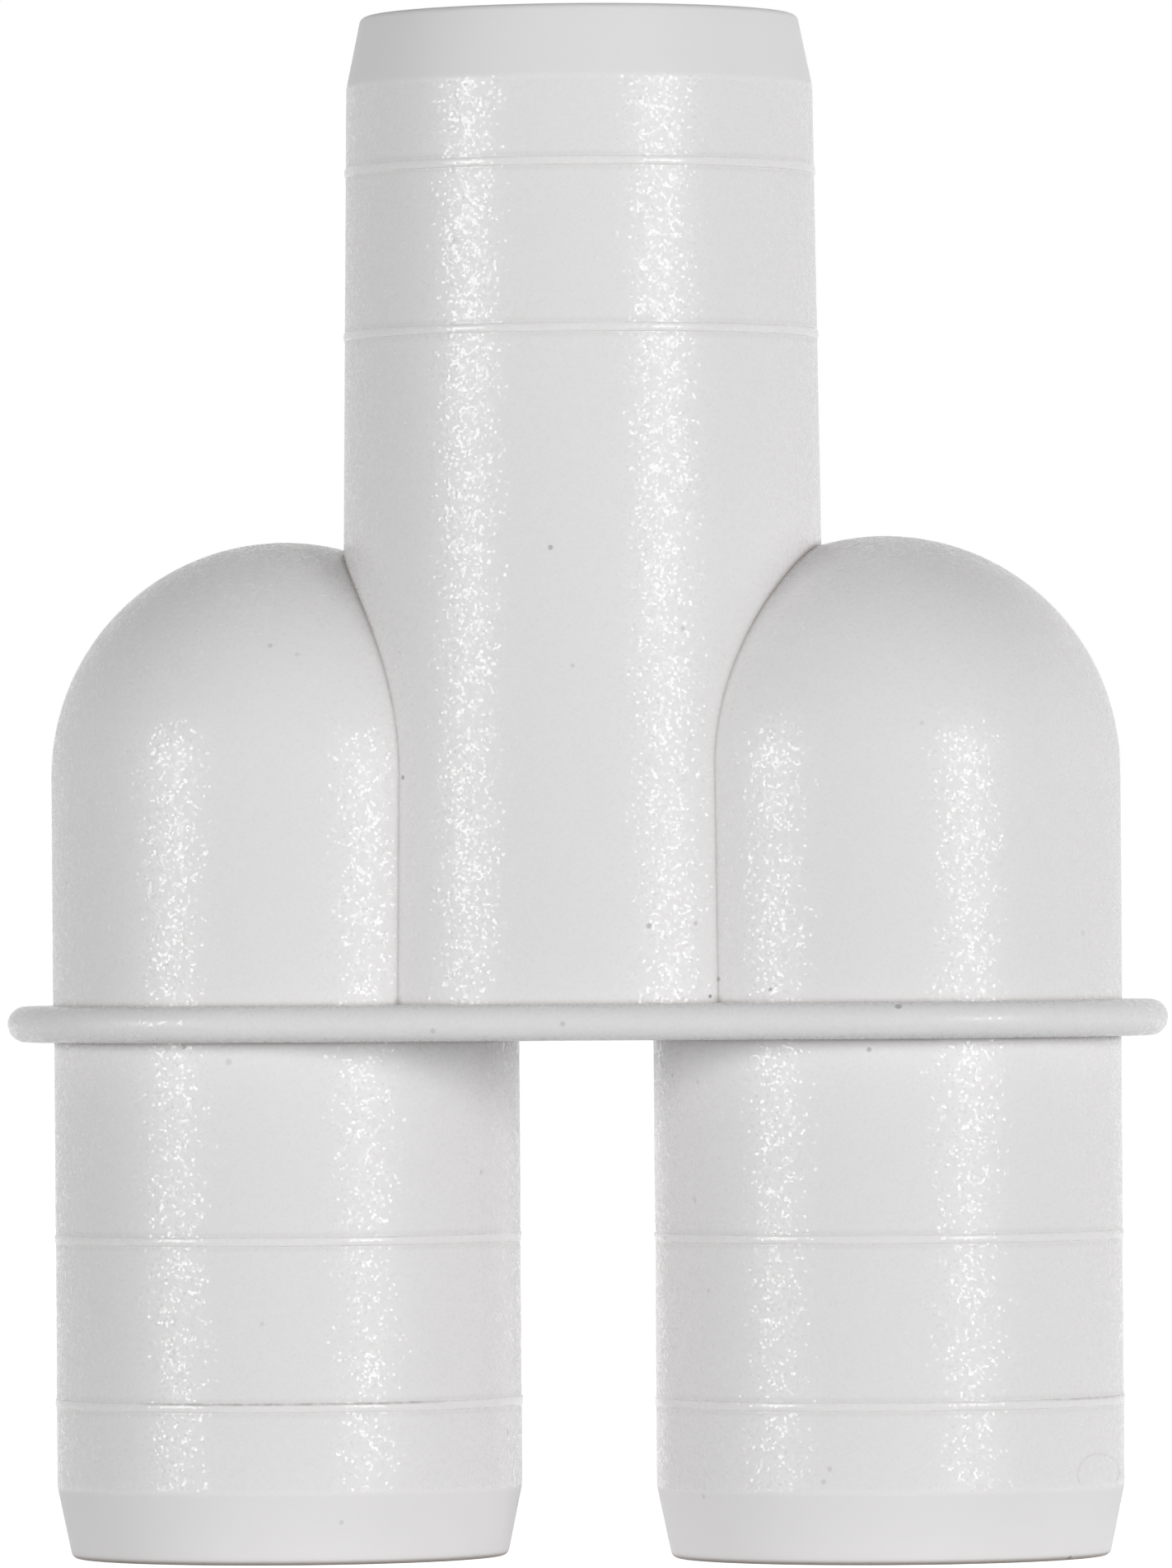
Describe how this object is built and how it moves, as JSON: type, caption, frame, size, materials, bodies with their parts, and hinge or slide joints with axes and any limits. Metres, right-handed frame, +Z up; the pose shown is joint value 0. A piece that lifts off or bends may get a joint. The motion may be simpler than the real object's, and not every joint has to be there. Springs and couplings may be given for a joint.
{
  "type": "tubing y connector",
  "caption": "Parallel Y connector for tubing: an upper hose spigot divides through two domed shoulders into a pair of legs below a flange.",
  "frame": {"origin": "centre of the underside, midway between the open ends of the two legs", "axes": "+X from the left leg to the right leg, +Z up along the legs towards the upper spigot, and the flange's narrow way along Y"},
  "size_m": [0.055, 0.0264, 0.0727],
  "materials": {
    "plastic": "fine spark-eroded grain, slightly glossy"
  },
  "bodies": {
    "root": {"connector_body": "plastic"}
  },
  "joints": []
}
